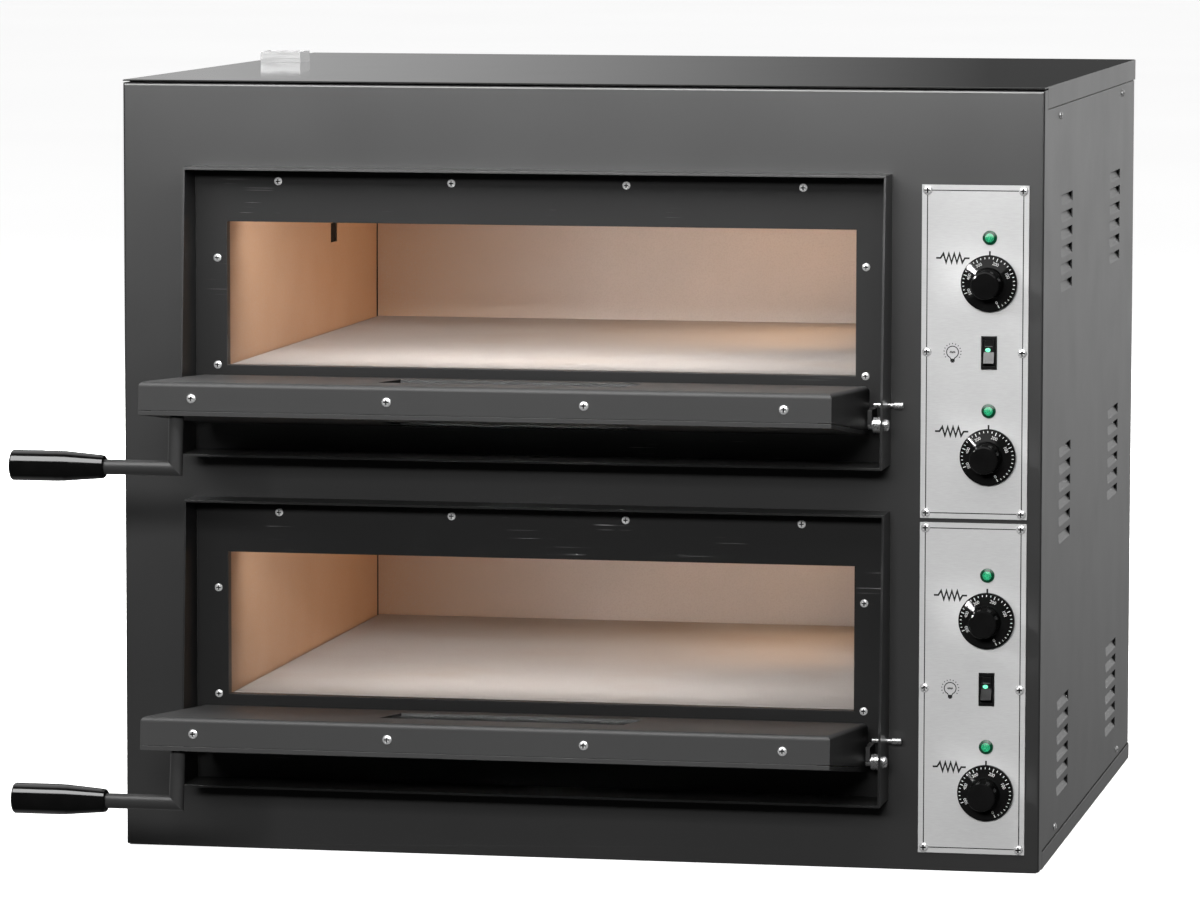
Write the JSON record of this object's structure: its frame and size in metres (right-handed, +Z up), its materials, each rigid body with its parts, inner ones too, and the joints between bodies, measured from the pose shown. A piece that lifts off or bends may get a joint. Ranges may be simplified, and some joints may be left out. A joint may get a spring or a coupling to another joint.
{
  "type": "countertop pizza oven",
  "caption": "Electric deck pizza oven in a painted steel case: low stone-floored chambers with drop-down windowed doors and side handles, dial control plates at the right.",
  "frame": {"origin": "centre of the casing's flat base, on the face it stands on", "axes": "+X to the right seen from the front, +Y towards the back so the doors face -Y, +Z up"},
  "size_m": [0.9328, 1.0655, 0.753],
  "materials": {
    "casing_paint": "satin dark grey enamel",
    "lid_paint": "gloss dark grey enamel",
    "surround_paint": "satin dark grey enamel",
    "mouth_paint": "satin dark grey enamel, lightly scratched",
    "door_paint": "satin dark grey enamel",
    "handle_paint": "satin dark grey enamel",
    "frame_steel": "galvanised, matte",
    "vent_steel": "polished stainless steel",
    "liner_steel": "satin aluminised steel, warmed by use",
    "baking_stone": "matte refractory clay",
    "control_plate_steel": "satin brushed stainless steel",
    "bright_screw": "polished zinc plate",
    "hinge_bolt": "satin zinc plate",
    "element_steel": "matte, dulled by heat",
    "knob_plastic": "gloss black with white printed dial",
    "grip_plastic": "gloss black phenolic",
    "switch_plastic": "satin black",
    "spindle_steel": "satin",
    "pilot_green": "gloss translucent green",
    "door_glass": "gloss tempered glass",
    "window_frame_steel": "satin",
    "lamp_glass": "gloss",
    "lamp_holder_ceramic": "matte",
    "mineral_wool": "matte mineral wool",
    "thermostat_plastic": "matte",
    "terminal_plastic": "matte",
    "gland_plastic": "matte"
  },
  "bodies": {
    "casing": {"front_panel": "casing_paint", "side_panel_left": "casing_paint", "side_panel_right": "casing_paint", "back_panel": "casing_paint", "base_pan": "casing_paint", "top_cover": "lid_paint", "door_surround_lower": "surround_paint", "door_surround_upper": "surround_paint", "mouth_plate_lower": "mouth_paint", "mouth_plate_upper": "mouth_paint", "inner_frame": "frame_steel", "deck_divider": "frame_steel", "compartment_wall": "frame_steel", "steam_vent": "vent_steel", "chamber_liner_lower": "liner_steel", "chamber_liner_upper": "liner_steel", "baking_stone_lower": "baking_stone", "baking_stone_upper": "baking_stone", "control_plate_lower": "control_plate_steel", "control_plate_upper": "control_plate_steel", "casing_screws": "bright_screw", "mouth_screws": "bright_screw", "control_screws": "bright_screw", "pivot_bolts": "hinge_bolt", "stop_studs": "hinge_bolt", "heating_elements": "element_steel", "switch_housings": "switch_plastic", "pilot_lamps": "pilot_green", "lamp_glasses": "lamp_glass", "lamp_holders": "lamp_holder_ceramic", "chamber_insulation": "mineral_wool", "thermostats": "thermostat_plastic", "terminal_block": "terminal_plastic", "cable_gland": "gland_plastic"},
    "door_lower": {"door_inner_panel_lower": "door_paint", "door_outer_shell_lower": "door_paint", "door_glass_lower": "door_glass", "window_frame_lower": "window_frame_steel", "door_insulation_lower": "mineral_wool", "door_screws_lower": "bright_screw", "handle_rod_lower": "handle_paint", "handle_grip_lower": "grip_plastic"},
    "knob_ceiling_lower": {"knob_ceiling_lower": "knob_plastic", "spindle_ceiling_lower": "spindle_steel"},
    "knob_floor_lower": {"knob_floor_lower": "knob_plastic", "spindle_floor_lower": "spindle_steel"},
    "rocker_lower": {"rocker_lower": "switch_plastic"},
    "door_upper": {"door_inner_panel_upper": "door_paint", "door_outer_shell_upper": "door_paint", "door_glass_upper": "door_glass", "window_frame_upper": "window_frame_steel", "door_insulation_upper": "mineral_wool", "door_screws_upper": "bright_screw", "handle_rod_upper": "handle_paint", "handle_grip_upper": "grip_plastic"},
    "knob_ceiling_upper": {"knob_ceiling_upper": "knob_plastic", "spindle_ceiling_upper": "spindle_steel"},
    "knob_floor_upper": {"knob_floor_upper": "knob_plastic", "spindle_floor_upper": "spindle_steel"},
    "rocker_upper": {"rocker_upper": "switch_plastic"}
  },
  "joints": [
    {"name": "door_hinge_lower", "type": "hinge", "parent": "casing", "child": "door_lower", "pos_m": [-0.037, -0.43, 0.108], "axis": [-1, 0, 0], "range_deg": [0, 85.1]},
    {"name": "knob_turn_ceiling_lower", "type": "hinge", "parent": "casing", "child": "knob_ceiling_lower", "pos_m": [0.3945, -0.3915, 0.2402], "axis": [0, 1, 0], "range_deg": [-156, 113.5]},
    {"name": "knob_turn_floor_lower", "type": "hinge", "parent": "casing", "child": "knob_floor_lower", "pos_m": [0.3945, -0.3915, 0.0766], "axis": [0, 1, 0], "range_deg": [-156, 113.5]},
    {"name": "rocker_tilt_lower", "type": "hinge", "parent": "casing", "child": "rocker_lower", "pos_m": [0.3945, -0.3894, 0.1747], "axis": [1, 0, 0], "range_deg": [0, 20]},
    {"name": "door_hinge_upper", "type": "hinge", "parent": "casing", "child": "door_upper", "pos_m": [-0.037, -0.43, 0.4265], "axis": [-1, 0, 0], "range_deg": [0, 86.9]},
    {"name": "knob_turn_ceiling_upper", "type": "hinge", "parent": "casing", "child": "knob_ceiling_upper", "pos_m": [0.3945, -0.3915, 0.5587], "axis": [0, 1, 0], "range_deg": [-156, 113.5]},
    {"name": "knob_turn_floor_upper", "type": "hinge", "parent": "casing", "child": "knob_floor_upper", "pos_m": [0.3945, -0.3915, 0.3951], "axis": [0, 1, 0], "range_deg": [-156, 113.5]},
    {"name": "rocker_tilt_upper", "type": "hinge", "parent": "casing", "child": "rocker_upper", "pos_m": [0.3945, -0.3894, 0.4932], "axis": [1, 0, 0], "range_deg": [0, 20]}
  ]
}
